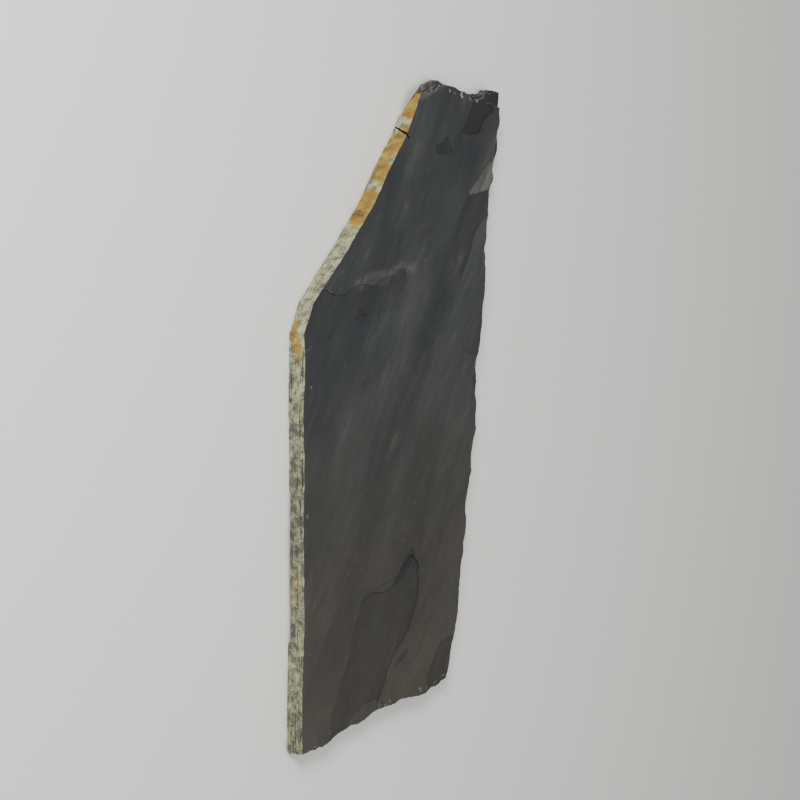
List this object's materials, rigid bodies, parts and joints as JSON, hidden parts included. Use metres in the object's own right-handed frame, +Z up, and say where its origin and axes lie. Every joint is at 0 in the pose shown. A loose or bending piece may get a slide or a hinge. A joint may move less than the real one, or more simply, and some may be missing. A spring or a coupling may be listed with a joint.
{
  "type": "natural cleft slate slab",
  "caption": "Flat irregular slab of black slate with natural cleft faces, broken layered edges and an ochre-stained joint edge, lying on its back.",
  "frame": {"origin": "under the middle of the slab's bounding box, on the surface that it lies on", "axes": "+X across the slab's width, +Y along its length towards the peaked end, +Z up out of the cleft face that shows"},
  "size_m": [0.6936, 1.1522, 0.0335],
  "materials": {
    "slate": "matte natural cleft"
  },
  "bodies": {
    "root": {"slab": "slate"}
  },
  "joints": []
}
